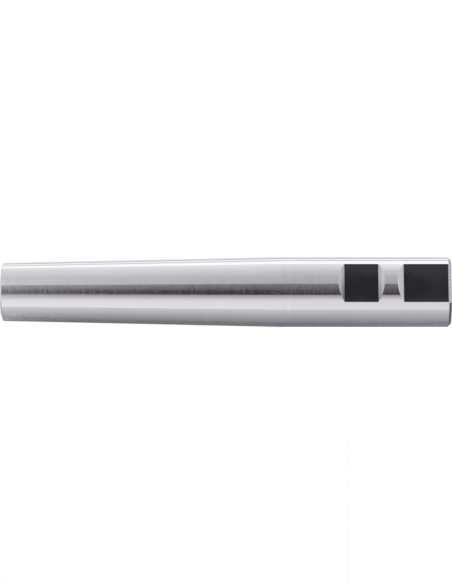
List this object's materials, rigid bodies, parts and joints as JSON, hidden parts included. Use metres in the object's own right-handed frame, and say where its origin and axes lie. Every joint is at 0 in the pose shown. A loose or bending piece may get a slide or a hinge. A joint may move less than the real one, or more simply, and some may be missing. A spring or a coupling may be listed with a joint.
{
  "type": "milling cutter extension",
  "caption": "Ground steel bar with clamping flats on its cylindrical shank and a tapered neck that ends in a piloted, threaded socket for a screw-in milling cutter.",
  "frame": {"origin": "centre of the shank's end face, which the bar stands on", "axes": "+Z along the bar's axis, from the shank's end to the cutter; -Y out of the clamping flats; +X completes a right-handed frame"},
  "size_m": [0.025, 0.025, 0.16],
  "materials": {
    "ground_steel": "ground, fine circumferential marks, with blackened clamping flats"
  },
  "bodies": {
    "root": {"cutter_extension": "ground_steel"}
  },
  "joints": []
}
